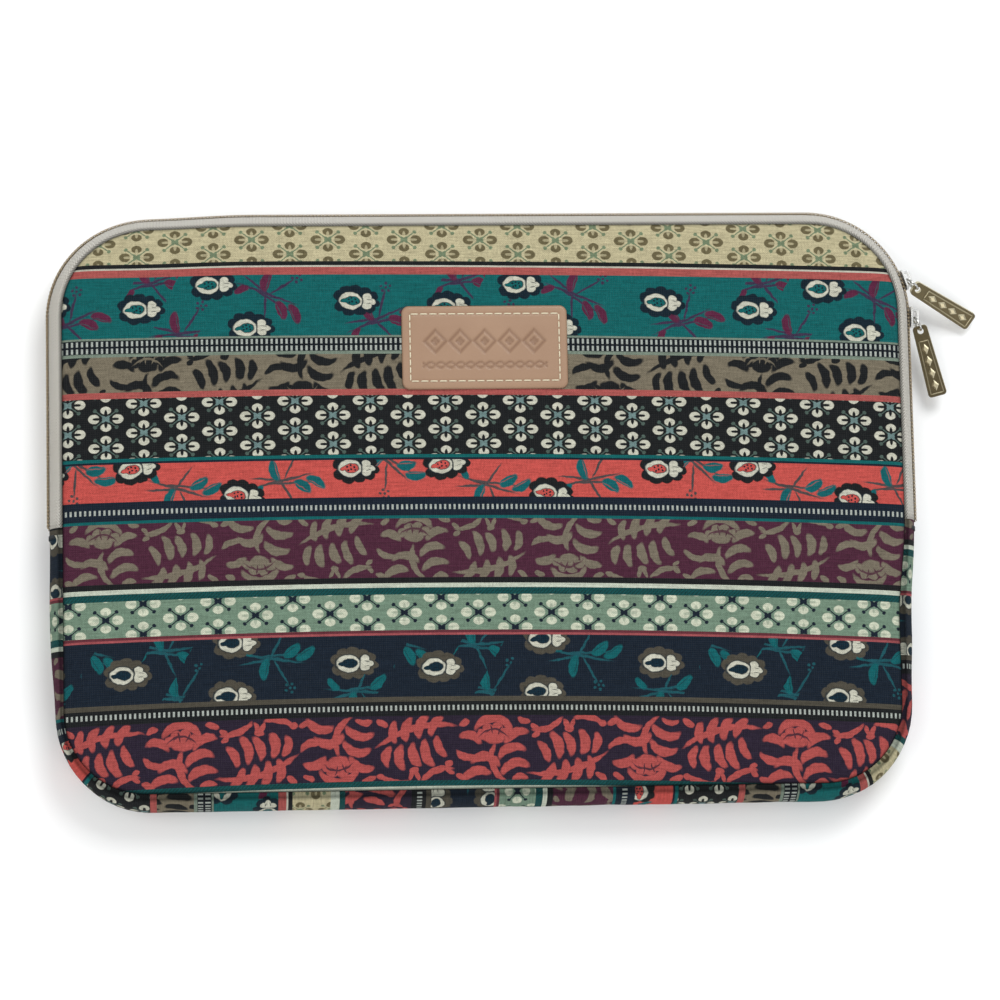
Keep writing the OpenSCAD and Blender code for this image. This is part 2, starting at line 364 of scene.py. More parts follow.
class Value:
    """A node's output. Arithmetic on it adds Math nodes."""

    def __init__(self, shader, socket):
        self.shader = shader
        self.socket = socket

    __add__, __radd__ = operator("ADD"), operator("ADD", swapped=True)
    __sub__, __rsub__ = operator("SUBTRACT"), operator("SUBTRACT", swapped=True)
    __mul__, __rmul__ = operator("MULTIPLY"), operator("MULTIPLY", swapped=True)
    __truediv__ = operator("DIVIDE")
    __mod__ = operator("FLOORED_MODULO")
    __abs__ = operator("ABSOLUTE")


class Shader:
    """A material and short ways to add nodes to it."""

    def __init__(self, name):
        self.material = bpy.data.materials.new(name)
        self.material.use_nodes = True
        self.tree = self.material.node_tree
        self.tree.nodes.clear()

    def put(self, socket, value):
        """value may be another node's output, an ink's name, a hex colour or a number."""
        if isinstance(value, Value):
            self.tree.links.new(value.socket, socket)
        else:
            socket.default_value = tint(value) if isinstance(value, str) else value

    def add(self, kind, inputs=None, **settings):
        item = self.tree.nodes.new("ShaderNode" + kind)
        for key, value in settings.items():
            setattr(item, key, value)
        for key, value in (inputs or {}).items():
            self.put(item.inputs[key], value)
        return item

    def output(self, item, key=0):
        return Value(self, item.outputs[key])

    def read(self, kind, key, inputs=None, **settings):
        """Adds a node and gives one of its outputs."""
        return self.output(self.add(kind, inputs, **settings), key)

    def math(self, operation, *values, clamp=False):
        item = self.add("Math", operation=operation, use_clamp=clamp)
        for i, value in enumerate(values):
            self.put(item.inputs[i], value)
        return self.output(item, 0)

    def fma(self, a, b, c, clamp=False):
        """a * b + c, in one node."""
        return self.math("MULTIPLY_ADD", a, b, c, clamp=clamp)

    def vector(self, x, y, z=0.0):
        return self.read("CombineXYZ", 0, {"X": x, "Y": y, "Z": z})

    def split(self, vector):
        item = self.add("SeparateXYZ", {"Vector": vector})
        return self.output(item, "X"), self.output(item, "Y")

    def uv(self):
        return self.read("UVMap", "UV", uv_map="print")

    def place(self):
        return self.read("TexCoord", "Object")

    def attribute(self, name):
        return self.read("Attribute", "Fac", attribute_name=name)

    def noise(self, vector, scale, detail=2.0, key="Fac"):
        return self.read("TexNoise", key, {"Vector": vector, "Scale": scale, "Detail": detail})

    def stretch(self, vector, x, y, z=1.0):
        return self.read("VectorMath", 0, {0: vector, 1: (x, y, z)}, operation="MULTIPLY")

    def length(self, vector):
        return self.read("VectorMath", "Value", {0: vector}, operation="LENGTH")

    def mix(self, factor, a, b, blend="MIX"):
        return self.read("Mix", 2, {0: factor, 6: a, 7: b}, data_type="RGBA", blend_type=blend)

    def ramp(self, value, stops):
        """A ColorRamp of flat steps. stops are (position from 0 to 1, RGBA)."""
        item = self.add("ValToRGB", {"Fac": value})
        item.color_ramp.interpolation = "CONSTANT"
        elements = item.color_ramp.elements
        elements[0].position, elements[0].color = stops[0]
        elements[1].position, elements[1].color = stops[-1]
        for position, colour in stops[1:-1]:
            elements.new(position).color = colour
        return item

    def stripes(self, v, start, ends):
        """Plain stripes down the cloth. ends are (where a stripe ends, its ink)."""
        total = ends[-1][0] - start
        level = (v - start) / total
        starts = [start] + [end for end, _ in ends]
        stops = [((edge - start) / total, INK[ink]) for edge, (_, ink) in zip(starts, ends)]
        if len(stops) == 1:
            stops.append((1.0, stops[0][1]))
        return self.output(self.ramp(level, stops), "Color")

    # Shapes: each gives a value that is under 1 inside the shape.

    def placed(self, p, x, y, turn, rx=1, ry=1):
        """Coordinates about (x, y), turned and scaled."""
        return self.read("Mapping", 0, {
            "Vector": p, "Location": (x, y, 0), "Rotation": (0, 0, math.radians(turn)), "Scale": (rx, ry, 1),
        }, vector_type="TEXTURE")

    def blob(self, p, x, y, rx, ry, turn=0.0):
        return self.length(self.placed(p, x, y, turn, rx, ry))

    def join(self, p, blobs):
        """The union of blobs, each (x, y, rx, ry, turn)."""
        whole = self.blob(p, *blobs[0])
        for blob in blobs[1:]:
            whole = self.math("MINIMUM", whole, self.blob(p, *blob))
        return whole

    def fill(self, shape, sharp=7.0):
        """1 inside the shape and 0 outside, with a soft edge."""
        return self.fma(shape, -sharp, sharp + 0.5, clamp=True)

    def rub(self, p, size, scale):
        """Moves points about a little, so that printed edges look drawn by hand."""
        wobble = self.noise(p, scale, 1.0, "Color")
        centred = self.read("VectorMath", 0, {0: wobble, 1: (0.5, 0.5, 0.5)}, operation="SUBTRACT")
        return self.read("VectorMath", 0, {0: centred, 1: (size, size, 0), 2: p}, operation="MULTIPLY_ADD")

    def cells(self, u, v, lean, middle, places):
        """Coordinates about the nearest motif. places are (where its cell ends, x, y, turn, flip),
        in the order of where they end, and the cells' sides lean by lean about the height middle."""
        across = u % REPEAT_U
        leant = self.fma(v - middle, lean, across)
        leant = leant % REPEAT_U
        stops = []
        edge = 0.0
        for end, x, y, turn, flip in places:
            stops.append((edge / REPEAT_U, (x / REPEAT_U, y / REPEAT_V, turn % 360 / 360, flip)))
            edge = end
        stops.append((edge / REPEAT_U, stops[0][1]))
        table = self.ramp(leant / REPEAT_U, stops)
        parts = self.add("SeparateColor", {"Color": self.output(table, "Color")})
        x = self.output(parts, 0) * REPEAT_U
        x = self.math("WRAP", across - x, REPEAT_U / 2, -REPEAT_U / 2)
        y = self.fma(self.output(parts, 1), -REPEAT_V, v)
        turn = self.vector(0.0, 0.0, self.output(parts, 2) * TAU)
        mirror = self.fma(self.output(table, "Alpha"), -2.0, 1.0)
        return self.read("Mapping", 0, {
            "Vector": self.vector(x, y), "Rotation": turn, "Scale": self.vector(1.0, mirror, 1.0),
        }, vector_type="TEXTURE")

    def bent(self, p, x, y, radius, width, turn, spread):
        """A crescent: an arc about (x, y), facing turn, that tapers to its ends."""
        q = self.placed(p, x, y, turn)
        off = self.fma(self.length(q), 1 / width, -radius / width)
        side, down = self.split(q)
        angle = self.math("ARCTAN2", down, side) / math.radians(spread)
        return self.length(self.vector(off, angle))

    def foliage(self, p, blobs, crescents):
        """The union of blobs and crescents."""
        whole = self.join(p, blobs)
        for crescent in crescents:
            whole = self.math("MINIMUM", whole, self.bent(p, *crescent))
        return whole

    def cloth(self, colour, p):
        """Finishes a printed canvas: slubs, speckle, weave and the shade in the seams."""
        slubs = self.noise(self.stretch(p, 0.13, 1.5), 1.0, 4.0)
        threads = self.noise(self.stretch(p, 1.3, 0.3), 1.0, 3.0)
        speckle = self.noise(p, 1.5, 2.0)
        u, v = self.split(p)
        drift = self.fma(threads, 0.5, v)
        warp = self.math("SINE", u * (TAU / 0.86))
        weft = self.math("SINE", drift * (TAU / 0.8))
        weave = warp * weft
        shade = self.fma(slubs, 0.95, threads * 0.55)
        shade = self.fma(speckle, 0.5, 0.02) + shade
        shade = self.fma(weave, 0.11, shade)
        grey = self.read("CombineColor", 0, {0: shade, 1: shade, 2: shade})
        colour = self.mix(1.0, colour, grey, "MULTIPLY")
        bare = self.fma(self.math("MAXIMUM", warp, weft), 0.5, -0.44)
        fleck = self.math("MULTIPLY", self.fma(threads, 1.1, 0.0), bare, clamp=True)
        colour = self.mix(fleck, colour, "pale")
        # Painted shade: the canvas is darkened towards its seam, in the crease where the panel meets the
        # wall.
        shaded = self.fma(self.attribute("edge"), 1.0, 0.0, clamp=True)
        dark = self.mix(1.0, colour, (0.20, 0.22, 0.22, 1), "MULTIPLY")
        colour = self.mix(shaded, dark, colour)
        height = weave + slubs * 2.4
        self.surface(colour, 0.92, height, 0.00012, 0.7, specular=0.1)

    def surface(self, colour, roughness, height=None, depth=0.0001, strength=0.5, metallic=0.0,
                sheen=0.0, specular=0.5, coat=0.0):
        shader = self.add("BsdfPrincipled", {
            "Base Color": colour, "Roughness": roughness, "Metallic": metallic, "Sheen Weight": sheen,
            "Specular IOR Level": specular, "Coat Weight": coat,
        })
        if height is not None:
            bump = self.read("Bump", 0, {"Height": height, "Strength": strength, "Distance": depth})
            self.put(shader.inputs["Normal"], bump)
        self.add("OutputMaterial", {"Surface": self.output(shader)})


# ---- motifs --------------------


def curl(x1, y1, x2, y2, swell, width):
    """A curved leaf between two points, as Shader.bent takes it. Its middle lies swell off
    the straight line."""
    chord = math.hypot(x2 - x1, y2 - y1)
    radius = (chord * chord / 4 + swell * swell) / (2 * abs(swell))
    side = math.copysign(1, swell)
    nx, ny = -side * (y2 - y1) / chord, side * (x2 - x1) / chord
    back = abs(swell) - radius
    x, y = (x1 + x2) / 2 + nx * back, (y1 + y2) / 2 + ny * back
    spread = math.degrees(math.asin(min(1.0, chord / 2 / radius)))
    return x, y, radius, width, math.degrees(math.atan2(ny, nx)), spread


def rosettes(s, u, v, lattice, ground, petal, centre, rays, notch=1.0):
    """Four-petalled rosettes in columns, with every other column half a row lower.
    lattice is (column pitch, a column's place, row pitch, a row's height)."""
    pitch, first, row, top = lattice
    column = s.math("ROUND", (u - first) / pitch)
    x = u - first - column * pitch
    odd = column % 2.0
    y = s.fma(odd, row / 2, v - top)
    y = s.math("WRAP", y, row / 2, -row / 2)
    p = s.rub(s.vector(abs(x), abs(y)), 0.35, 0.9)
    ray = s.join(p, [(2.5, 1.9, 2.4, 0.24, 37), (4.35, 3.0, 0.8, 0.42, 20), (4.1, 3.5, 0.7, 0.38, 20)])
    colour = s.mix(s.fill(ray, 3.5), ground, rays)
    petals = s.fill(s.join(p, [(4.7, 0, 2.2, 1.85), (0, 3.4, 2.1, 1.55)]))
    colour = s.mix(petals, colour, petal)
    notches = s.fill(s.join(p, [(3.3, 0, 1.85, 0.56), (0, 2.25, 0.6, 1.35)]), 4)
    colour = s.mix(notches * notch, colour, ground)
    return s.mix(s.fill(s.join(p, [(0, 0, 1.5, 0.8), (0.6, 0.5, 1.15, 0.55, 40)]), 4), colour, centre)


def sprays(s, p, base, leaf, branch):
    """A leafy twig: crossing stems, a pair of leaves, a single leaf and berries."""
    stems = [(0, 0, 12, 0.55, 5), (-4.5, 1.2, 7.5, 0.5, -13), (1.0, -3.6, 6.5, 0.5, -66),
             (4.2, 5.2, 5.8, 0.48, 56), (2.5, -1.4, 9.5, 0.48, -6)]
    colour = s.mix(s.fill(s.join(p, stems), 2.6), base, branch)
    fifths = [TAU * k / 5 for k in range(5)]
    berries = [(8 + 1.9 * math.cos(a), 11 + 1.7 * math.sin(a), 0.6, 0.55) for a in fifths]
    colour = s.mix(s.fill(s.join(p, berries + [(8, 11, 0.55, 0.55)]), 2.6), colour, branch)
    leaves = [curl(4.6, -1.2, 10.2, -6.6, 1.1, 1.8), curl(9.6, -0.4, 16.2, -5.6, 1.0, 1.8),
              curl(-1.2, 0.4, -2.2, 8.6, 1.0, 1.9), curl(-7.5, -1.2, -11.6, -5.4, -0.8, 1.4)]
    colour = s.mix(s.fill(s.foliage(p, [(7.2, -3.9, 3.0, 1.0, -42)], leaves), 5), colour, leaf)
    ribs = [(7.2, -3.7, 3.0, 0.2, -40), (12.9, -3.2, 3.0, 0.2, -38), (-1.6, 4.4, 0.2, 3.1, 8)]
    return s.mix(s.fill(s.join(p, ribs), 1.5) * 0.5, colour, base)


def blossoms(s, p, base, heart_ink, outline_ink, line_ink):
    """A blossom seen from the side: a scalloped outline, two crescent petals, a lobed
    petal on the right and a pointed heart."""
    dark = [
        (-6.6, -1.4, 2.6, 2.3), (-4.2, -3.6, 2.7, 2.1), (-0.6, -4.3, 2.7, 2.0), (3.2, -3.5, 2.5, 1.9),
        (6.3, -1.9, 2.3, 1.9), (7.8, 0.9, 1.7, 1.6), (5.4, 3.0, 2.4, 1.9), (1.4, 4.2, 2.6, 1.9),
        (-2.8, 4.4, 2.8, 2.0), (-6.2, 2.6, 2.5, 2.3), (0, 0, 6.4, 4.2),
    ]
    colour = s.mix(s.fill(s.join(p, dark), 6), base, outline_ink)
    cream = s.foliage(
        p,
        [(4.2, -1.5, 1.75, 1.5), (4.2, 1.7, 1.9, 1.5), (6.0, 0.3, 1.7, 1.15, 8), (4.0, 0.1, 1.5, 2.5)],
        [curl(-6.5, -0.6, 2.2, -0.9, 2.9, 1.6), curl(-6.6, 1.0, 2.1, 1.2, -2.6, 1.7)],
    )
    colour = s.mix(s.fill(cream * 0.84, 5), colour, line_ink)
    colour = s.mix(s.fill(cream, 5), colour, "cream")
    veins = s.fill(s.join(p, [(2.4, 0, 0.3, 2.8), (5.2, -0.5, 1.2, 0.14, 8), (5.0, 1.1, 1.1, 0.14, -8)]), 3)
    colour = s.mix(veins * 0.8, colour, line_ink)
    heart = s.join(p, [(-1.6, 0.2, 3.1, 1.95), (-4.4, 0.4, 2.0, 0.9, -6)])
    colour = s.mix(s.fill(heart, 6), colour, line_ink)
    colour = s.mix(s.fill(heart * 1.16, 6), colour, heart_ink)
    seeds = [(-3.2, -0.3, 0.4, 0.4), (-1.9, -0.9, 0.4, 0.4), (-0.5, -0.3, 0.4, 0.4),
             (-1.8, 0.6, 0.4, 0.4), (-0.2, 0.9, 0.4, 0.4), (-2.8, 1.1, 0.4, 0.4)]
    return s.mix(s.fill(s.join(p, seeds), 2.5), colour, line_ink)


def garden(s, u, v, middle, twigs, flowers, base, heart_ink, outline_ink, leaf, branch):
    """A band of blossoms and twigs. twigs and flowers are each (lean, places)."""
    wu, wv = s.split(s.rub(s.vector(u, v), 1.0, 0.4))
    colour = sprays(s, s.cells(wu, wv, twigs[0], middle, twigs[1]), base, leaf, branch)
    places = s.cells(wu, wv, flowers[0], middle, flowers[1])
    return blossoms(s, places, colour, heart_ink, outline_ink, "inknavy")


def arabesque(s, u, v, middle, shift, ground, ink, thin=1.0):
    """Leafy branches and open flowers, two of each in a repeat, the second ones turned over.
    thin makes the drawing finer as it grows."""
    p = s.rub(s.vector(u + shift, v), 1.5, 0.3)
    wu, wv = s.split(p)
    quarter = REPEAT_U / 4
    branch_places = [(2 * quarter, quarter, middle, 0, 0), (4 * quarter, 3 * quarter, middle, 180, 0)]
    flower_places = [(quarter, 0, middle, 0, 0), (3 * quarter, 2 * quarter, middle, 0, 1),
                     (4 * quarter, 0, middle, 0, 0)]
    q = s.cells(wu, wv, 0.0, middle, branch_places)
    branch = s.foliage(q, [
        (-0.6, -9.6, 0.9, 2.6, -24), (1.4, -9.6, 0.9, 2.4, 22), (0.4, -8.0, 1.8, 1.3),
        (-13.6, -8.6, 1.7, 1.0, 30), (-13.2, -5.6, 1.6, 1.0, -30), (13.6, -10.4, 1.7, 1.2, 12),
        (12.8, 10.6, 2.4, 1.2, 30),
    ], [curl(*leaf) for leaf in (
        (-15.5, 9.5, 14.5, 1.5, 3.0, 1.2), (-8.6, 5.0, -12.4, -2.6, 1.2, 1.7),
        (-4.2, 3.6, -7.2, -6.4, 1.6, 1.9), (0.6, 2.4, -2.2, -6.0, 1.6, 1.9),
        (5.2, 1.6, 4.4, -7.4, 1.8, 1.9), (9.4, 1.2, 10.8, -6.6, 1.4, 1.7),
        (-6.4, 5.6, -11.2, 12.4, -1.4, 1.7), (-1.6, 4.6, -5.0, 12.6, -1.5, 1.8),
        (3.2, 3.6, 1.2, 12.4, -1.5, 1.8), (7.6, 2.8, 7.4, 11.2, -1.2, 1.6),
        (-14.5, -7.4, -2.6, -12.2, 1.6, 1.2), (2.4, -12.2, 13.4, -10.0, -1.6, 1.3),
    )])
    q = s.cells(wu, wv, 0.0, middle, flower_places)
    flower = s.foliage(q, [
        (-1.6, -8.0, 2.2, 2.0), (1.8, -8.4, 2.3, 1.8, -16), (4.8, -6.6, 2.2, 1.7, -34),
        (-4.2, -5.8, 1.9, 2.0), (0.6, -4.6, 4.2, 2.5), (-11.0, -10.4, 2.2, 1.2, -24),
        (12.6, -11.2, 2.6, 1.2, 20), (-12.8, 10.8, 2.2, 1.2, 24),
    ], [curl(*leaf) for leaf in (
        (-6.6, -7.6, 7.8, -6.8, -5.0, 1.7), (5.2, -2.6, 14.2, -6.6, -2.0, 1.7),
        (-4.8, -2.4, -13.0, -4.6, 2.0, 1.7), (0.6, -1.6, 5.4, 12.8, 3.2, 1.3),
        (2.2, 6.4, -8.4, 5.4, 3.0, 1.8), (-1.4, 9.4, -11.6, 12.6, 2.4, 1.7),
        (2.6, 3.8, 12.8, 0.4, -2.8, 1.8), (3.6, 9.6, 14.2, 6.6, -2.6, 1.8),
        (-6.0, 3.0, -14.2, 0.4, -1.6, 1.4), (7.6, 12.2, 13.8, 11.6, -1.2, 1.2),
    )])
    shape = s.math("MINIMUM", branch, flower) * thin
    colour = s.mix(s.fill(shape, 5), ground, ink)
    cuts = s.foliage(q, [(-0.4, -7.6, 0.3, 2.0, -12), (3.0, -7.2, 0.3, 1.8, 24)], [
        curl(-5.0, -5.2, 6.2, -4.8, -2.6, 0.4), curl(-2.6, -6.2, 4.0, -6.0, -1.6, 0.35),
    ])
    return s.mix(s.fill(cuts, 2.5) * 0.85, colour, ground)


def ticks(s, u, v, pitch, rows, ground):
    """Rows of short upright ticks. rows are (top, bottom)."""
    across = abs(s.math("WRAP", u, pitch / 2, -pitch / 2))
    upright = s.math("LESS_THAN", across, pitch * 0.22)
    mask = None
    for top, bottom in rows:
        inside = s.math("COMPARE", v, (top + bottom) / 2, (bottom - top) / 2)
        mask = inside if mask is None else s.math("MAXIMUM", mask, inside)
    return s.mix(mask * upright, ground, "tick")


def twill(s, u, v, top, bottom, ground):
    """A line of slanting hatching."""
    slant = s.math("SINE", (u + v) * (TAU / 1.5))
    inside = s.math("COMPARE", v, (top + bottom) / 2, (bottom - top) / 2)
    lit = inside * s.fma(slant, 0.22, 0.22)
    return s.mix(lit, ground, "leaf")


# How each band is printed: its plain stripes as (where a stripe ends, its ink), what is
# drawn on the first of them, and the settings for that.
PRINTED = {
    "beige": ([(14.5, "beige"), (16.1, "black"), (16.7, "pale"), (19.9, "salmon")],
              rosettes, (15.2, -1.0, 11.8, 5.7), "beige", "olive", "leafgrey", "leafgrey", 0.7),
    "teal": ([(44.5, "teal"), (45.3, "grey")],
             garden, 32.5, (0.5, [(14, 2, 43.0, 0, 1), (58, 36, 27.6, 26, 1), (100, 79.5, 38.2, -20, 1),
                                  (117, 113, 22.2, -14, 1), (122.4, 2, 43.0, 0, 1)]),
             (0.3, [(22.2, 14.8, 23.6, 0, 0), (50, 29.5, 41.0, 0, 0), (90, 71.6, 30.4, 3, 0),
                    (122.4, 108.6, 32.8, 0, 0)]), "teal", "teal", "inknavy", "wine", "fig"),
    "ladder": ([(50.7, "ladder"), (52.0, "grey")], ticks, 1.97, [(45.7, 47.7), (48.5, 50.5)]),
    "taupe": ([(66.1, "taupe"), (68.6, "salmon")], arabesque, 60.5, 12.0, "taupe", "black", 1.0),
    "black": ([(92.3, "black"), (93.6, "teal"), (94.5, "navy")],
              rosettes, (14.92, -1.2, 11.6, 76.5), "black", "cream", "mist", "slate"),
    "coral": ([],
              garden, 102, (0.3, [(20, 0, 104.8, 12, 0), (62, 41, 102.4, -8, 1), (100, 82, 94.6, 38, 0),
                                  (122.4, 0, 104.8, 12, 0)]),
              (0.0, [(48, 25.4, 108.0, 10, 0), (88, 70.2, 97.6, 0, 0), (122.4, 106.2, 96.2, -8, 0)]),
              "coral", "coral", "black", "leaf", "bark"),
    "dashes": ([(116.8, "navy"), (118.0, "teal")], ticks, 1.89, [(112.4, 114.4)]),
    "plum": ([(141.4, "plum"), (143.6, "black"), (145.4, "white"), (148.2, "green")],
             arabesque, 129.7, 30.0, "plum", "stone", 1.09),
    "sage": ([(162.3, "sage"), (163.4, "red"), (164.3, "rose")],
             rosettes, (14.64, -4.6, 11.9, 155.4), "sage", "petal", "navy", "navy", 0.4),
    "navy": ([(188.5, "navy"), (190.5, "brown")],
             garden, 176, (0.6, [(8, -3, 186.4, 0, 1), (58, 36, 172.6, 4, 0), (84, 70, 186.2, 0, 0),
                                 (105, 84, 166.5, 20, 1), (122.4, 117, 168.2, 0, 1)]),
             (1.5, [(22, 22.3, 165.8, 0, 0), (52, 20.4, 186.6, 0, 0), (85, 68.4, 174.9, 0, 0),
                    (117, 102.2, 176.8, 0, 0), (122.4, 22.3, 165.8, 0, 0)]),
             "navy", "spruce", "brown", "leaf", "fern"),
    "ticks": ([(196.1, "black")], ticks, 1.89, [(192.0, 194.0)]),
    "crimson": ([(221.4, "violet"), (223.6, "green"), (227.0, "white")],
                arabesque, 209.4, 0.0, "violet", "crimson", 0.97),
}
# Bands with a hatched line under them, as (top, bottom)
HATCHED = {"plum": (145.4, 148.2), "crimson": (221.4, 223.6)}
# Beige also serves the cloth this far above the first row, so it keeps negative values.
ABOVE = 60.0


def print_material(name, start):
    """The printed canvas of one band."""
    stripes, draw, *settings = PRINTED[name]
    s = Shader("print_" + name)
    p = s.uv()
    u, v = s.split(p)
    first = name == "beige"
    v = s.math("WRAP", v, REPEAT_V - ABOVE, -ABOVE) if first else v % REPEAT_V
    if stripes:
        ground = s.stripes(v, -40 if first else start, stripes)
    if draw is ticks:
        colour = ticks(s, u, v, *settings, ground)
    else:
        colour = draw(s, u, v, *settings)
        if stripes:
            inside = s.math("LESS_THAN", v, stripes[0][0])
            if name in HATCHED:
                ground = twill(s, u, v, *HATCHED[name], ground)
            colour = s.mix(inside, ground, colour)
    s.cloth(colour, p)
    return s.material


PRINTS = [print_material(name, start) for name, start in BANDS]


# ---- other materials --------------------


def tape_material():
    """Herringbone zip tape."""
    s = Shader("zip_tape_twill")
    p = s.uv()
    w, run = s.split(p)
    fold = s.math("PINGPONG", w, 1.5)
    slant = s.fma(fold, 1.2, run)
    rib = s.math("SINE", slant * (TAU / 1.25))
    grain = s.noise(s.stretch(p, 2.0, 1.2), 1.0, 3.0)
    broad = s.noise(p, 0.03, 2.0)
    colour = s.mix(s.fma(rib, 0.5, 0.55, clamp=True), "96928A", "F2EFE7")
    colour = s.mix(grain * 0.22, colour, "B8B2A4")
    colour = s.mix(broad * 0.25, colour, "B5AB94")
    # Painted shade: the tape is darkened next to the seam, in the crease against the panel's edge.
    seam_shade = s.fma(w, -1.0, 0.1, clamp=True)
    colour = s.mix(seam_shade * 0.75, colour, "4C4B44")
    s.surface(colour, 0.85, s.fma(grain, 0.5, rib), 0.00025, 0.9, sheen=0.05, specular=0.2)
    return s.material


def plain_material(name, low, high, scale, roughness, depth=0.0001, strength=0.4, **finish):
    """A material whose colour and surface vary with a fine noise."""
    s = Shader(name)
    place = s.place()
    fine = s.noise(place, scale, 4.0)
    broad = s.noise(place, scale / 18, 2.0)
    colour = s.mix(fine, low, high)
    colour = s.mix(broad * 0.4, colour, low)
    rough = s.fma(fine, 0.16, roughness - 0.08, clamp=True)
    s.surface(colour, rough, fine, depth, strength, **finish)
    return s.material


def thread_material(name, low, high, pitch):
    """Twisted thread: slanting plies across the object's own axes."""
    s = Shader(name)
    place = s.place()
    item = s.add("SeparateXYZ", {"Vector": place})
    total = s.output(item, 0) + s.output(item, 1) + s.output(item, 2)
    ply = s.math("SINE", total * (TAU / (pitch * MM)))
    fine = s.noise(place, 3000.0, 2.0)
    colour = s.mix(s.fma(ply, 0.3, 0.5), low, high)
    s.surface(colour, 0.75, ply + fine, 0.00006, 0.5, sheen=0.1, specular=0.3)
    return s.material


def foam_material():
    s = Shader("foam_cells")
    place = s.place()
    cells = s.read("TexVoronoi", "Distance", {"Vector": place, "Scale": 1400.0})
    colour = s.mix(cells, "3A3B40", "5C5D62")
    s.surface(colour, 0.95, cells, 0.0002, 0.6, specular=0.2)
    return s.material


def fleece_material():
    """Short-pile lining: soft flecks in two sizes."""
    s = Shader("lining_fleece")
    place = s.place()
    pile = s.noise(place, 1500.0, 4.0)
    swirl = s.noise(place, 90.0, 3.0)
    colour = s.mix(pile, "1E2024", "3E4147")
    colour = s.mix(swirl * 0.5, colour, "4A4D53")
    height = pile + swirl * 1.5
    s.surface(colour, 0.96, height, 0.0004, 0.7, sheen=0.35, specular=0.15)
    return s.material


def leather_material():
    """Tan leather: fine pebbled grain, darker in the pressed figures, the stitch groove and at the cut edge:
    partly the pressed leather's own colour and partly painted shade in these hollows and on the rounded edge.
    """
    s = Shader("label_leather")
    place = s.place()
    grain = s.read("TexVoronoi", "Distance", {"Vector": place, "Scale": 1600.0})
    fine = s.noise(place, 2600.0, 4.0)
    broad = s.noise(place, 45.0, 3.0)
    colour = s.mix(broad, "94755D", "A5866C")
    colour = s.mix(fine * 0.35, colour, "8A6850")
    # pressed darkens the figures, the stitch groove, the rounded edge and the underside: partly the pressed
    # leather's colour, partly painted shade.
    pressed = s.attribute("pressed")
    colour = s.mix(pressed * 0.45, colour, "6E4E3A")
    rough = s.fma(fine, 0.2, 0.42)
    height = grain + fine * 0.5
    s.surface(colour, rough, height, 0.00006, 0.35, specular=0.4, coat=0.05)
    return s.material


def metal_material(name, low, high, roughness, worn, scale):
    """Plated metal with fine scratches; worn is the colour of rubbed edges."""
    s = Shader(name)
    place = s.place()
    scratches = s.noise(s.stretch(place, 1.0, 6.0, 1.0), scale, 4.0)
    broad = s.noise(place, 380.0, 3.0)
    colour = s.mix(broad, low, high)
    edge = s.read("NewGeometry", "Pointiness")
    rubbed = s.fma(edge, 9.0, -4.6, clamp=True)
    colour = s.mix(rubbed * 0.8, colour, worn)
    rough = s.fma(scratches, 0.2, roughness - 0.1, clamp=True)
    s.surface(colour, rough, scratches, 0.00002, 0.3, metallic=1.0)
    return s.material


TAPE = tape_material()
COIL = plain_material("zip_coil_nylon", "8C7A5E", "BBAA8C", 900.0, 0.42, specular=0.5)
FLEECE = fleece_material()
FOAM = foam_material()
BINDING = plain_material("binding_tape", "24262B", "3A3D44", 2200.0, 0.9, 0.0002, 0.6, sheen=0.1)
LEATHER = leather_material()
THREAD = thread_material("label_thread", "C9BB98", "EBE2CB", 0.6)
TACK_THREAD = thread_material("tack_thread", "23272B", "3D4347", 0.5)
NICKEL = metal_material("nickel_plate", "A9A9A6", "D6D5D0", 0.24, "F2F1EC", 2600.0)
RELIEF = metal_material("bronze_relief", "6E6244", "9A8C66", 0.34, "D5CCAE", 2200.0)


# ---- panels --------------------


def crown(depth, x, y):
    """Height above the seam of the padded front, depth inside its outline."""
    t = min(depth / 10.0, 1.0)
    shoulder = (1 - (1 - t) ** 2.3) ** 0.62
    swell = 0.9 * (1 - math.exp(-max(depth - 6, 0) / 34))
    drift = noise.noise(Vector((x / 42, y / 30, 3)))
    pucker = noise.noise(Vector((x / 7.5, y / 7.5, 12)))
    return RISE * shoulder + swell * t + 0.35 * drift * t + 0.30 * pucker * t * math.exp(-depth / 7)


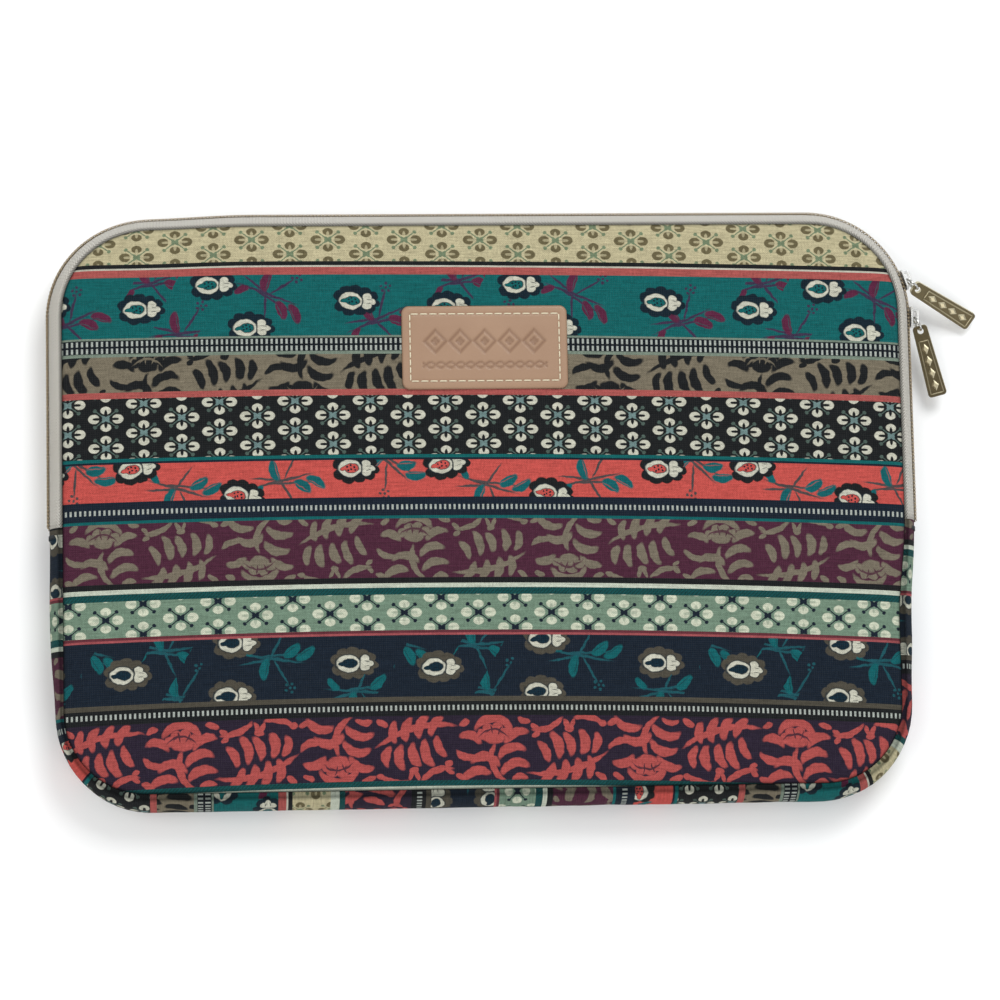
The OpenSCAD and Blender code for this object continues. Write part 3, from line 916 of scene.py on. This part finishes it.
def panel_sheet(name, height, thick, pitch, rings, materials, flip, trim=0.0, printed=False):
    """A panel of cloth or foam: a flat cut is ruled into rows and columns, then given its height.
    height(depth, x, y) is the height of its outer face."""
    bm = bmesh.new()

    def ruled(point):
        drop = cloth_v(point.x, point.y) * STRETCH if printed else HALF_H - point.y
        return Vector((point.x, -drop, 0))

    loops = [[bm.verts.new(ruled(p)) for p in outline(trim + depth, pitch)] for depth in rings]
    for outer, inner in zip(loops, loops[1:]):
        for i, vert in enumerate(outer):
            j = (i + 1) % len(outer)
            bm.faces.new((vert, outer[j], inner[j], inner[i]))
    bm.faces.new(loops[-1])
    rows = list(np.arange(-4, 2 * HALF_H + 6, pitch))
    if printed:
        rows += [start * STRETCH for start in BAND_STARTS[1:]]
        rows.append(REPEAT_V * STRETCH)
    cuts = [((x, 0, 0), (1, 0, 0)) for x in np.arange(-HALF_W + pitch, HALF_W, pitch)]
    cuts += [((0, -row, 0), (0, 1, 0)) for row in rows]
    for place, normal in cuts:
        everything = list(bm.verts) + list(bm.edges) + list(bm.faces)
        bmesh.ops.bisect_plane(bm, geom=everything, dist=1e-4, plane_co=place, plane_no=normal)
    bmesh.ops.remove_doubles(bm, verts=bm.verts, dist=0.02)
    uv = bm.loops.layers.uv.new("print")
    edge = bm.verts.layers.float.new("edge")
    for face in bm.faces:
        middle = face.calc_center_median()
        for loop in face.loops:
            loop[uv].uv = (loop.vert.co.x / STRETCH, -loop.vert.co.y / STRETCH)
        if printed:
            face.material_index = band_of(-middle.y / STRETCH) if -middle.y > 0 else 0
    for vert in bm.verts:
        x = vert.co.x
        y = cloth_y(x, -vert.co.y / STRETCH) if printed else HALF_H + vert.co.y
        depth = max(inset(x, y), 0)
        # edge sets the painted shade along the seam: 0 at the seam, 1 from SHADE_DEPTH inside.
        vert[edge] = min(depth / SHADE_DEPTH, 1.0)
        vert.co = (x, y, height(depth, x, y))
    big = [face for face in bm.faces if len(face.verts) > 4]
    bmesh.ops.triangulate(bm, faces=big)
    bmesh.ops.recalc_face_normals(bm, faces=bm.faces)
    for vert in bm.verts:
        vert.co.x -= SIDE_TUCK * below(vert.co.y) * max(vert.co.x / HALF_W, 0) ** 3
    average = sum(face.normal.z for face in bm.faces)
    if (average < 0) != flip:
        bmesh.ops.reverse_faces(bm, faces=bm.faces)
    piece = from_bmesh(name, bm, materials, outward=False)
    solid = piece.modifiers.new("thickness", "SOLIDIFY")
    solid.thickness = thick * MM
    solid.offset = -1
    solid.use_even_offset = False
    return piece


# How high the front stands over its seam, before it swells
RISE = SEAM_DROP + 0.2
# Depths inside the outline at which a panel is ruled
EDGE_RINGS = (0.0, 0.4, 0.9, 1.6, 2.6, 4.0, 6.0)
INNER_RINGS = (0.0, 1.5, 4.0)
CANVAS_PITCH = 3.5
LINING_TRIM = 2.2
# The seam's shade fades over this depth, and the wall's over this height.
SHADE_DEPTH = 1.1
SHADE_HEIGHT = 1.2
# How far the foam's own outline lies from the canvas's
FOAM_GAP = 1.6


def front_height(depth, x, y):
    return THICK - SEAM_DROP + crown(depth, x, y)


def back_height(depth, x, y):
    """The back face: rounded at the seam and flat where the sleeve lies on it."""
    t = min(depth / 9.0, 1.0)
    return SEAM_DROP * (1 - (1 - (1 - t) ** 2.3) ** 0.62)


def foam_top(depth, x, y):
    return front_height(depth + FOAM_GAP, x, y) - CANVAS - 0.25


def foam_base(depth, x, y):
    return back_height(depth + FOAM_GAP, x, y) + CANVAS + 0.05


def ripple(depth, x, y, seed):
    return 0.25 * noise.noise(Vector((x / 16, y / 16, seed))) * min(depth / 8, 1)


def lining_top(depth, x, y):
    return THICK - LINING_Z + FLEECE_THICK + ripple(depth, x, y, 5)


def lining_base(depth, x, y):
    return LINING_Z - FLEECE_THICK + ripple(depth, x, y, 8)


def build_panels():
    canvases = [
        panel_sheet(name, height, CANVAS, CANVAS_PITCH, EDGE_RINGS, PRINTS, flip, printed=True)
        for name, height, flip in (
            ("front_canvas", front_height, False), ("back_canvas_print", back_height, True))
    ]
    foams = [
        panel_sheet(name, height, FOAM_THICK, pitch, INNER_RINGS, [FOAM], flip, trim)
        for name, height, pitch, flip, trim in (
            ("front_foam", foam_top, 3.5, False, 11.0), ("back_foam_pad", foam_base, 8.0, True, 4.5))
    ]
    linings = [
        panel_sheet(name, height, FLEECE_THICK, pitch, INNER_RINGS, [FLEECE], flip, LINING_TRIM)
        for name, height, pitch, flip in (
            ("front_lining", lining_top, 3.5, False), ("back_lining_fleece", lining_base, 6.0, True))
    ]
    for (front, back), part, slot in (
        (canvases, "canvas", "printed_canvas"), (foams, "foam", "foam"), (linings, "lining", "lining"),
    ):
        stand_for(front, slot, f"front_{part}_lower", f"front_{part}_upper", body=None)
        stand_for(back, slot, f"back_{part}")


def stand_for(piece, slot, *nodes, body="sleeve"):
    """The piece takes the place of CAD nodes. It rides on a body or, with None, has its transform baked into
    its mesh.
    """
    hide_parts(*nodes)
    if body:
        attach(piece, body)
    else:
        bend(piece)


def bend(piece):
    """Bakes the piece's transform into its mesh."""
    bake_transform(piece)


# ---- side wall --------------------

# Half the length of the wall's arc, from the middle to a seam
WALL_W = WALL_R * math.asin((MID_Z - SEAM_DROP + 0.3) / WALL_R)


def wall_profile(w_from, w_to, height, thick, count, lips=""):
    """A closed profile of a layer of the wall between two places on its arc. lips says
    which ends are turned in to the panel's edge: "start", "both" or neither."""
    places = [w_from + (w_to - w_from) * k / count for k in range(count + 1)]
    outer = [wall_point(height, w) for w in places]
    inner = [wall_point(height - thick, w) for w in reversed(places)]

    def turned(point):
        side = 1 if point[1] > MID_Z else -1
        return point[0] - LIP, point[1] - side * 0.5

    if lips:
        inner.append(turned(inner[-1]))
        outer.insert(0, turned(outer[0]))
    if lips == "both":
        inner.insert(0, turned(inner[0]))
        outer.append(turned(outer[-1]))
    return outer + inner


def profile_lengths(profile):
    total = [0.0]
    for a, b in zip(profile, profile[1:] + profile[:1]):
        total.append(total[-1] + math.dist(a, b))
    return total


def tuck(edge, s):
    """How far the wall's seams are drawn in at s."""
    foot, outward = edge.at(s)
    return TUCK * max(0.0, -outward.y) + SIDE_TUCK * below(foot.y) * max(0.0, outward.x)


def drawn_in(edge, s, z):
    """How far the wall gives inwards at s and height z: at its seams by the tuck, and
    between them towards the closed end's corners."""
    if edge is not GUSSET_EDGE:
        return 0.0
    foot, outward = edge.at(s)
    level = abs(z - MID_Z) / MID_Z
    slack = (2.6 if outward.x < 0 else 1.5) * abs(outward.x) * below(foot.y + 40)
    return slack * (1 - level) + tuck(edge, s) * level**5


def wall_piece(name, edge, profile, step, materials, lengths=None):
    values = edge.steps(step)
    points = edge.sweep(lambda s: [(u - drawn_in(edge, s, z), z) for u, z in profile], values)
    return strip_mesh(name, points, values, lengths or profile_lengths(profile), materials)


# Where the print starts on the gusset, at its right-hand end
GUSSET_START = 133.0
# The strip is stretched a little beyond this place along it.
GUSSET_EASE = 141.0
GUSSET_STRETCH = 0.04


def gusset_canvas():
    profile = wall_profile(-WALL_W, WALL_W, 0.0, CANVAS, 14, "both")
    across = [length - LIP for length in profile_lengths(profile)]
    cuts = []
    for lap in range(5):
        for start in BAND_STARTS:
            s = start + lap * REPEAT_V - GUSSET_START
            s += max(0.0, s - GUSSET_EASE) * GUSSET_STRETCH / (1 - GUSSET_STRETCH)
            if 0.2 < s < GUSSET_EDGE.length - 0.2:
                cuts.append(s)
    values = GUSSET_EDGE.steps(4.0, cuts)

    def rippled(s):
        """The strip pulls in at its seams and swells a little unevenly between them."""
        out = []
        for u, z in profile:
            lift = 0.35 * noise.noise(Vector((s / 14, z / 6, 2.0)))
            level = abs(z - MID_Z) / MID_Z
            out.append((u + lift * (1 - level) - drawn_in(GUSSET_EDGE, s, z), z))
        return out

    points = GUSSET_EDGE.sweep(rippled, values)
    along = [GUSSET_START + s - GUSSET_STRETCH * max(0.0, s - GUSSET_EASE) for s in values]
    piece = strip_mesh("gusset_canvas_print", points, along, across, PRINTS, band_of)
    # edge sets the painted shade along the wall's two seams: 0 at a seam, 1 from SHADE_HEIGHT away.
    edge = piece.data.attributes.new("edge", "FLOAT", "POINT")
    near = []
    for vert in piece.data.vertices:
        z = vert.co.z / MM
        above, under = THICK - SEAM_DROP + 0.5 - z, z - SEAM_DROP + 0.5
        near.append(max(0.0, min(above / SHADE_HEIGHT, under / SHADE_HEIGHT, 1.0)))
    edge.data.foreach_set("value", near)
    stand_for(piece, "printed_canvas", "gusset_canvas")


def build_wall():
    gusset_canvas()
    inner_w = WALL_R * math.asin((MID_Z - LINING_Z) / (WALL_R - CANVAS))
    profile = wall_profile(-inner_w, inner_w, -CANVAS - 0.05, WALL_FOAM_THICK, 8)
    foam = wall_piece("gusset_foam_pad", GUSSET_EDGE, profile, 8.0, [FOAM])
    profile = wall_profile(-inner_w, inner_w, -CANVAS - 2.75, FLEECE_THICK, 8)
    lining = wall_piece("gusset_lining_fleece", GUSSET_EDGE, profile, 6.0, [FLEECE])
    for piece, node, name in ((foam, "gusset_foam", "foam"), (lining, "gusset_lining", "lining")):
        stand_for(piece, name, node)
    bindings()
    tapes()
    coils()
    bar_tacks()


def bindings():
    """Binding tape folded over the seam allowance, in the angle between panel and wall."""
    centre, long_way, short_way = Vector((-1.4, 4.9)), Vector((0.82, 0.57)), Vector((-0.57, 0.82))
    low = []
    for k in range(14):
        a = TAU * k / 14
        low.append(tuple(centre + 1.7 * math.cos(a) * long_way + 0.8 * math.sin(a) * short_way))
    high = [(u, THICK - z) for u, z in low]
    for name, edge, profile, node, body in (
        ("back_binding_zip_end", ZIP_EDGE, low, "back_binding", "sleeve"),
        ("back_binding_closed_end", GUSSET_EDGE, low, "back_binding", "sleeve"),
        ("front_binding_zip_end", ZIP_EDGE, high, "front_binding_upper", None),
        ("front_binding_closed_end", GUSSET_EDGE, high, "front_binding_lower", "sleeve"),
    ):
        values = edge.steps(5.0)
        points = edge.sweep(lambda s: [(u - tuck(edge, s), z) for u, z in profile], values)
        piece = strip_mesh(name, points, values, profile_lengths(profile), [BINDING])
        stand_for(piece, "binding", node, body=body)


def tapes():
    for name, sign, body in (("back_zip_tape", -1, "sleeve"), ("front_zip_tape", 1, None)):
        profile = wall_profile(sign * WALL_W, sign * COIL_HALF, 0.0, TAPE_THICK, 9, "start")
        across = [length - LIP for length in profile_lengths(profile)]
        piece = wall_piece(name + "_twill", ZIP_EDGE, profile, 4.0, [TAPE], across)
        stand_for(piece, "zip_tape", name, body=body)


def coil_mesh(name, sign):
    """One half of a nylon coil: a flattened helix whose loops reach past the middle, with
    the line of stitching that holds it to the tape."""
    bm = bmesh.new()
    turns = int(ZIP_EDGE.length / TOOTH_PITCH)

    def along(s, height, w):
        u, z = wall_point(height, w)
        foot, out = ZIP_EDGE.at(s)
        return foot + u * out + Vector((0, 0, z))

    per_turn = 9
    route = []
    for k in range(turns * per_turn):
        a = TAU * k / per_turn
        s = (k / per_turn + (0.5 if sign > 0 else 0.0)) * TOOTH_PITCH
        w = sign * (1.25 - 1.55 * math.cos(a))
        route.append(along(min(s, ZIP_EDGE.length), 0.52 + 0.33 * math.sin(a), w))
    tube(bm, route, 0.27, 5)
    seam = [
        along(k / 4 * TOOTH_PITCH, 0.9 + 0.12 * math.sin(TAU * k / 4), sign * 1.75)
        for k in range(turns * 4)
    ]
    tube(bm, seam, 0.2, 4)
    return from_bmesh(name, bm, [COIL])


def coils():
    for node, sign, body in (("back_zip_coil", -1, "sleeve"), ("front_zip_coil", 1, None)):
        stand_for(coil_mesh(node + "_turns", sign), "zip_coil", node, body=body)


def bar_tacks():
    """Close zigzag stitching over the gusset's folded ends."""
    low, high = node_box("gusset_bar_tacks")
    bm = bmesh.new()
    count = 34
    for side in (1, -1):
        route = []
        for k in range(count + 1):
            w = -9.0 + 18.0 * k / count
            u, z = wall_point(0.22, w)
            y = (low.y + high.y) / 2 + (0.75 if k % 2 else -0.75)
            route.append((side * (HALF_W + u), y, z))
        tube(bm, route, 0.17, 5)
    piece = from_bmesh("gusset_bar_tack_thread", bm, [TACK_THREAD])
    stand_for(piece, "thread", "gusset_bar_tacks")


# ---- label --------------------


def label_pattern(x, y, half_w):
    """How deeply the leather is pressed at (x, y), from 0 to 1: a row of lozenges with a
    blossom in each, over a plait of two waves."""
    def line(distance, width):
        return max(0.0, min(1.0, 1.5 - abs(distance) / width))

    if abs(x) >= half_w - 8:
        return 0.0
    near = (x + 5) % 10 - 5
    lozenge = abs(near) / 5 + abs(y - 2.5) / 5.2
    pressed = line((lozenge - 0.86) * 3.6, 0.42)
    angle = math.atan2(y - 2.5, near)
    radius = math.hypot(near, y - 2.5)
    petal = 0.9 + 1.0 * abs(math.cos(2 * angle))
    if radius < petal:
        pressed = max(pressed, min(1.0, (petal - radius) * 3))
    for swing in (-1.1, 1.1):
        pressed = max(pressed, line(y + 7.2 + swing * math.sin(x * TAU / 8), 0.38))
    return pressed


def build_label():
    low, high = node_box("leather_label")
    cx, cy = (low.x + high.x) / 2, (low.y + high.y) / 2
    half_w, half_h = (high.x - low.x) / 2, (high.y - low.y) / 2
    corner = 3.0
    step = 0.5
    bm = bmesh.new()
    pressed_layer = bm.verts.layers.float.new("pressed")
    columns = int(round(2 * half_w / step))
    rows = int(round(2 * half_h / step))

    def place(i, j):
        """A grid point, with the grid's corners pulled in to the rounded outline."""
        x = -half_w + 2 * half_w * i / columns
        y = -half_h + 2 * half_h * j / rows
        qx, qy = abs(x) - (half_w - corner), abs(y) - (half_h - corner)
        if qx > 0 and qy > 0:
            scale = max(qx, qy) / math.hypot(qx, qy)
            x = math.copysign(half_w - corner + qx * scale, x)
            y = math.copysign(half_h - corner + qy * scale, y)
        return x, y

    def depth_in(x, y):
        qx, qy = abs(x) - (half_w - corner), abs(y) - (half_h - corner)
        return corner - math.hypot(max(qx, 0), max(qy, 0)) - min(max(qx, qy), 0)

    base = THICK + 0.55
    top = high.z - low.z
    upper, lower = [], []
    for j in range(rows + 1):
        upper.append([])
        lower.append([])
        for i in range(columns + 1):
            x, y = place(i, j)
            inside = max(depth_in(x, y), 0)
            pressed = label_pattern(x, y, half_w)
            shoulder = 0.45 * (1 - min(inside / 0.9, 1)) ** 2
            groove = 0.2 * math.exp(-((inside - 3.3) / 0.55) ** 2)
            swell = 0.25 * min(inside / 8, 1)
            z = base + top + swell - shoulder - groove - 0.6 * pressed
            vert = bm.verts.new((cx + x, cy + y, z))
            # The stitch groove and the edge's shoulder are added as painted shade, and the underside is
            # darkened fully.
            vert[pressed_layer] = min(1.0, pressed + 2.2 * groove + 1.2 * shoulder)
            upper[-1].append(vert)
            under = bm.verts.new((cx + x, cy + y, base))
            under[pressed_layer] = 1.0
            lower[-1].append(under)
    for j in range(rows):
        for i in range(columns):
            bm.faces.new((upper[j][i], upper[j][i + 1], upper[j + 1][i + 1], upper[j + 1][i]))
            bm.faces.new((lower[j][i], lower[j + 1][i], lower[j + 1][i + 1], lower[j][i + 1]))
    rim = [(0, i) for i in range(columns)] + [(j, columns) for j in range(rows)]
    rim += [(rows, i) for i in range(columns, 0, -1)] + [(j, 0) for j in range(rows, 0, -1)]
    for (j, i), (n, m) in zip(rim, rim[1:] + rim[:1]):
        bm.faces.new((upper[j][i], lower[j][i], lower[n][m], upper[n][m]))
    piece = from_bmesh("label_leather", bm, [LEATHER])
    stand_for(piece, "leather", "leather_label", body="flap")
    label_stitches(cx, cy, half_w, half_h, base + top)


def label_stitches(cx, cy, half_w, half_h, top):
    """Thread stitches round the label, each one a short hump that dives at both ends."""
    bm = bmesh.new()
    edge = 3.3
    x0, y0 = half_w - edge, half_h - edge
    corners = [Vector((-x0, y0)), Vector((x0, y0)), Vector((x0, -y0)), Vector((-x0, -y0))]
    for a, b, count in zip(corners, corners[1:] + corners[:1], (16, 9, 16, 9)):
        for k in range(count):
            start = a + (b - a) * (k + 0.13) / count
            end = a + (b - a) * (k + 0.87) / count
            route = []
            for m in range(7):
                t = m / 6
                point = start + (end - start) * t
                rise = 0.34 * math.sin(math.pi * t) ** 0.5 - 0.22
                route.append((cx + point.x, cy + point.y, top + rise))
            tube(bm, route, 0.3, 6)
    piece = from_bmesh("label_stitches", bm, [THREAD])
    stand_for(piece, "thread", "label_stitching", body="flap")


# ---- sliders and pulls --------------------


def round_edges(piece, width):
    bevel = piece.modifiers.new("rounded edges", "BEVEL")
    bevel.width = width * MM
    bevel.segments = 3
    bevel.limit_method = "ANGLE"
    bevel.angle_limit = math.radians(40)


def patina_material(name, face):
    """Antique bronze, dark on the two broad faces and rubbed bright on the sides.
    face is the broad faces' direction at rest."""
    s = Shader(name)
    place = s.place()
    way = s.read("TexCoord", "Normal")
    turned = s.add("VectorMath", {0: way}, operation="DOT_PRODUCT")
    turned.inputs[1].default_value = face
    flat = abs(s.output(turned, "Value"))
    side = s.fma(flat, -2.2, 1.9, clamp=True)
    stain = s.noise(place, 900.0, 4.0)
    scratches = s.noise(s.stretch(place, 1.0, 5.0, 1.0), 2400.0, 4.0)
    colour = s.mix(stain, "2C2619", "5B4F35")
    colour = s.mix(s.fma(side, 0.85, scratches * 0.12), colour, "CFC6A6")
    rough = s.fma(stain, 0.25, 0.25)
    s.surface(colour, rough, stain + scratches, 0.00003, 0.4, metallic=1.0)
    return s.material


def pull_frame(node):
    """A pull's middle, the directions along it, across it and out of its broad face,
    and its half sizes, measured on its mesh in millimetres."""
    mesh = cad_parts[node].data
    points = np.array([vert.co[:] for vert in mesh.vertices]) / MM
    areas = {}
    for face in mesh.polygons:
        key = tuple(round(abs(c), 2) for c in face.normal)
        size, total = areas.get(key, (0.0, Vector()))
        sign = 1 if face.normal.z > 0 else -1
        areas[key] = (size + face.area, total + sign * face.area * face.normal)
    out = max(areas.values(), key=lambda item: item[0])[1].normalized()
    flat = points - np.outer(points @ np.array(out), out)
    flat = flat - flat.mean(axis=0)
    along = Vector(np.linalg.svd(flat, full_matrices=False)[2][0]).normalized()
    low, high = node_box(node.replace("pull", "ring"))
    if along.dot(Vector(points.mean(axis=0)) - (low + high) / 2) < 0:
        along = -along
    across = out.cross(along)
    spans = [points @ np.array(axis) for axis in (along, across, out)]
    middle = Vector()
    for axis, span in zip((along, across, out), spans):
        middle += axis * float(span.max() + span.min()) / 2
    half = [float(span.max() - span.min()) / 2 for span in spans]
    return middle, along, across, out, half


# Radius of the raised border
RIM = 0.28


def pull_relief(place, middle, along, across, out, half):
    """A raised border and a row of lozenges on both broad faces of a pull."""
    length, width, thick = half
    bm = bmesh.new()
    start, end = -length + 6.5, length - 1.3
    for side in (1, -1):
        def put(a, b, h=0.0):
            return middle + a * along + b * across + side * (thick + h) * out

        near, far = width * 0.82 - 1.2, width - 1.15
        corners = [(start, -near), (end, -far), (end, far), (start, near)]
        route = []
        for (a, b), (c, d) in zip(corners, corners[1:] + corners[:1]):
            route += [put(a + (c - a) * k / 5, b + (d - b) * k / 5) for k in range(5)]
        tube(bm, route, RIM, closed=True)
        count = 4
        pitch = (end - start - 1.6) / count
        for k in range(count):
            a = start + 0.8 + pitch * (k + 0.5)
            ring, inner = [], []
            for verts, reach, wide, h in ((ring, 0.46 * pitch, 1.55, -0.02), (inner, 0.24 * pitch, 0.8, 0.3)):
                for m in range(4):
                    turn = TAU * m / 4
                    verts.append(bm.verts.new(put(a + reach * math.cos(turn), wide * math.sin(turn), h)))
            foot = [bm.verts.new(vert.co - side * 0.3 * out) for vert in ring]
            for m in range(4):
                n = (m + 1) % 4
                bm.faces.new((ring[m], ring[n], inner[n], inner[m]))
                bm.faces.new((foot[m], foot[n], ring[n], ring[m]))
            bm.faces.new(inner)
            bm.faces.new(foot)
    piece = from_bmesh(f"{place}_pull_relief", bm, [RELIEF])
    for face in piece.data.polygons:
        face.use_smooth = len(face.vertices) == 4 and face.area < 0.3 * MM * MM
    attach(piece, f"{place}_pull")


def build_hardware():
    for place in ("upper", "lower"):
        measured = pull_frame(f"{place}_pull")
        patina = patina_material(f"{place}_pull_bronze", measured[3])
        for part, material, rounding in (
            ("slider", NICKEL, 0.15), ("ring", NICKEL, 0), ("pull", patina, 0.3),
        ):
            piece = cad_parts[f"{place}_{part}"]
            piece.data.materials.clear()
            piece.data.materials.append(material)
            if rounding:
                round_edges(piece, rounding)
        pull_relief(place, *measured)


# ---- stage --------------------

CAMERA_AZIMUTH = -32.78
CAMERA_TILT = 8.65
CAMERA_ROLL = -1.19
CAMERA_DISTANCE = 1483.6
CAMERA_LENS = 132.85
CAMERA_TARGET = Vector((5.0, 2.0, THICK))
# In metres, like the lamps' places
FLOOR_REACH = 4
FLOOR_Z = -0.0002
WORLD_COLOUR = (0.95, 0.97, 1.0, 1)
WORLD_STRENGTH = 0.58


def build_camera():
    azimuth, tilt = math.radians(CAMERA_AZIMUTH), math.radians(CAMERA_TILT)
    back = Vector((
        math.sin(azimuth) * math.sin(tilt), -math.cos(azimuth) * math.sin(tilt), math.cos(tilt)))
    right = Vector((0, 1, 0)).cross(back).normalized()
    up = back.cross(right)
    roll = math.radians(CAMERA_ROLL)
    right, up = right * math.cos(roll) + up * math.sin(roll), up * math.cos(roll) - right * math.sin(roll)
    matrix = Matrix((right, up, back)).transposed().to_4x4()
    matrix.translation = (CAMERA_TARGET + back * CAMERA_DISTANCE) * MM
    data = bpy.data.cameras.new("camera")
    data.lens = CAMERA_LENS
    data.sensor_width = 36
    data.clip_start, data.clip_end = 0.05, 20
    camera = bpy.data.objects.new("camera", data)
    camera.matrix_world = matrix
    bpy.context.scene.collection.objects.link(camera)
    bpy.context.scene.camera = camera


def area_light(name, place, size, power, colour=(1, 1, 1)):
    data = bpy.data.lights.new(name, "AREA")
    data.size = size
    data.energy = power
    data.color = colour
    lamp = bpy.data.objects.new(name, data)
    lamp.location = place
    lamp.rotation_euler = (-Vector(place)).to_track_quat("-Z", "Y").to_euler()
    bpy.context.scene.collection.objects.link(lamp)


def build_stage():
    s = Shader("floor")
    place = s.place()
    soft = s.noise(place, 3.0, 2.0)
    s.surface(s.mix(soft, "F7F7F6", "FFFFFF"), 0.9, specular=0.1)
    mesh = bpy.data.meshes.new("floor")
    far = FLOOR_REACH
    mesh.from_pydata([(-far, -far, 0), (far, -far, 0), (far, far, 0), (-far, far, 0)], [], [(0, 1, 2, 3)])
    floor = link("floor", mesh, [s.material])
    floor.location.z = FLOOR_Z
    area_light("key", (0.5, 1.1, 1.4), 0.9, 19, (0.97, 0.99, 1.0))
    area_light("fill", (-1.0, -0.2, 1.5), 1.4, 10, (1.0, 0.97, 0.92))
    area_light("low", (0.6, -1.2, 0.9), 1.0, 5)
    world = bpy.data.worlds.new("world")
    world.use_nodes = True
    sky = world.node_tree.nodes["Background"]
    sky.inputs["Color"].default_value = WORLD_COLOUR
    sky.inputs["Strength"].default_value = WORLD_STRENGTH
    bpy.context.scene.world = world


bpy.context.scene.view_settings.view_transform = "Standard"
build_camera()
build_stage()
build_panels()
build_wall()
build_label()
build_hardware()
